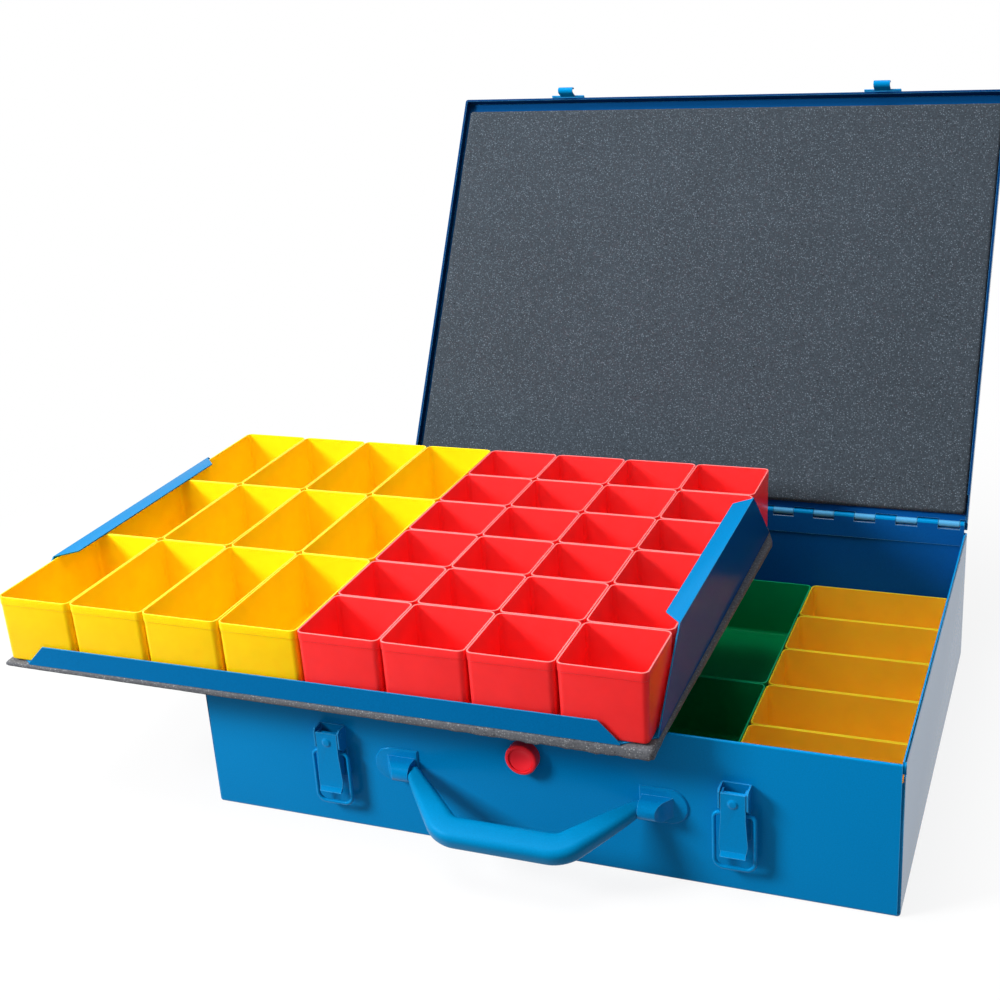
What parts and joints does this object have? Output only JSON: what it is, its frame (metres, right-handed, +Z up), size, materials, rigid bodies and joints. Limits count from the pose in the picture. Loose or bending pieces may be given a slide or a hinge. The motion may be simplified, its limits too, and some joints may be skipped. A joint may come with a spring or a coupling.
{
  "type": "drill bit case",
  "caption": "Folded steel case with hinged lid, draw latches, carrying handle, lift-out tray and two layers of small open insert boxes for drill bits or small parts.",
  "frame": {"origin": "centre of the case's flat underside", "axes": "+X to the right seen from the front, +Y from the front with the handle to the hinge, +Z up"},
  "size_m": [0.5702, 0.554, 0.3981],
  "materials": {
    "blue_paint": "smooth satin-gloss blue paint",
    "blue_handle": "moulded, same blue as the case, satin",
    "yellow_plastic": "polystyrene, satin outside, glossy rims",
    "red_plastic": "polystyrene, satin, paler thin rims",
    "green_plastic": "polystyrene, satin",
    "dark_foam": "open-cell foam, dark grey with light specks",
    "grey_foam": "open-cell foam, mid grey",
    "button_red": "moulded, satin",
    "bare_steel": "plain"
  },
  "bodies": {
    "case": {"case_body": "blue_paint", "case_tab_left": "blue_paint", "case_tab_right": "blue_paint", "hinge_leaf_case": "blue_paint", "hinge_pin": "blue_paint", "latch_base_left": "blue_paint", "latch_base_right": "blue_paint", "latch_pin_left": "blue_paint", "latch_pin_right": "blue_paint", "handle_bracket_left": "blue_paint", "handle_bracket_right": "blue_paint", "button_bezel": "button_red", "button_spring": "bare_steel", "lower_box_green_1": "green_plastic", "lower_box_green_2": "green_plastic", "lower_box_green_3": "green_plastic", "lower_box_green_4": "green_plastic", "lower_box_green_5": "green_plastic", "lower_box_green_6": "green_plastic"},
    "lid": {"lid_pan": "blue_paint", "lid_foam_pad": "dark_foam", "hinge_leaf_lid": "blue_paint", "lid_keeper_left": "blue_paint", "lid_keeper_right": "blue_paint"},
    "latch_lever_left": {"latch_lever_left": "blue_paint"},
    "latch_lever_right": {"latch_lever_right": "blue_paint"},
    "latch_bail_left": {"latch_bail_left": "blue_paint"},
    "latch_bail_right": {"latch_bail_right": "blue_paint"},
    "handle": {"handle": "blue_handle"},
    "push_button": {"push_button": "button_red", "button_clip": "bare_steel"},
    "tray": {"tray_pan": "blue_paint", "tray_foam_mat": "grey_foam", "tray_boxes_yellow_1": "yellow_plastic", "tray_boxes_red_4": "red_plastic"},
    "tray_yellow_boxes": {"tray_boxes_yellow_2": "yellow_plastic", "tray_boxes_yellow_3": "yellow_plastic", "tray_boxes_yellow_4": "yellow_plastic"},
    "tray_red_boxes": {"tray_boxes_red_1": "red_plastic", "tray_boxes_red_2": "red_plastic", "tray_boxes_red_3": "red_plastic"},
    "lower_yellow_boxes": {"lower_box_yellow_1": "yellow_plastic", "lower_box_yellow_2": "yellow_plastic", "lower_box_yellow_3": "yellow_plastic", "lower_box_yellow_4": "yellow_plastic", "lower_box_yellow_5": "yellow_plastic", "lower_box_yellow_6": "yellow_plastic"}
  },
  "joints": [
    {"name": "lid_hinge", "type": "hinge", "parent": "case", "child": "lid", "pos_m": [0, 0.1653, 0.104], "axis": [-1, 0, 0], "range_deg": [-121.3, 0]},
    {"name": "tray_lift_off", "type": "slide", "parent": "case", "child": "tray", "axis": [0, -1, 0], "range_m": [0, 0.35]},
    {"name": "handle_swing", "type": "hinge", "parent": "case", "child": "handle", "pos_m": [0, -0.172, 0.05], "axis": [-1, 0, 0], "range_deg": [0, 90]},
    {"name": "button_press", "type": "slide", "parent": "case", "child": "push_button", "axis": [0, 1, 0], "range_m": [0, 0.0015], "stiffness_N_per_m": 300, "springref_m": -0.001, "deforming": ["button_spring"]},
    {"name": "tray_yellow_boxes_lift", "type": "slide", "parent": "tray", "child": "tray_yellow_boxes", "axis": [0, 0, 1], "range_m": [0, 0.06]},
    {"name": "tray_red_boxes_lift", "type": "slide", "parent": "tray", "child": "tray_red_boxes", "axis": [0, 0, 1], "range_m": [0, 0.06]},
    {"name": "lower_yellow_boxes_lift", "type": "slide", "parent": "case", "child": "lower_yellow_boxes", "axis": [0, 0, 1], "range_m": [0, 0.12]},
    {"name": "latch_lever_left_swing", "type": "hinge", "parent": "case", "child": "latch_lever_left", "pos_m": [-0.128, -0.171, 0.068], "axis": [-1, 0, 0], "range_deg": [0, 120]},
    {"name": "latch_bail_left_swing", "type": "hinge", "parent": "latch_lever_left", "child": "latch_bail_left", "pos_m": [-0.128, -0.1715, 0.0555], "axis": [1, 0, 0], "range_deg": [-185.26, 0]},
    {"name": "latch_lever_right_swing", "type": "hinge", "parent": "case", "child": "latch_lever_right", "pos_m": [0.128, -0.171, 0.068], "axis": [-1, 0, 0], "range_deg": [0, 120]},
    {"name": "latch_bail_right_swing", "type": "hinge", "parent": "latch_lever_right", "child": "latch_bail_right", "pos_m": [0.128, -0.1715, 0.0555], "axis": [1, 0, 0], "range_deg": [-185.26, 0]}
  ],
  "couplings": [
    {"joint": "tray_lift_off", "follows": "lid_hinge", "m_per_rad": -0.16532}
  ]
}
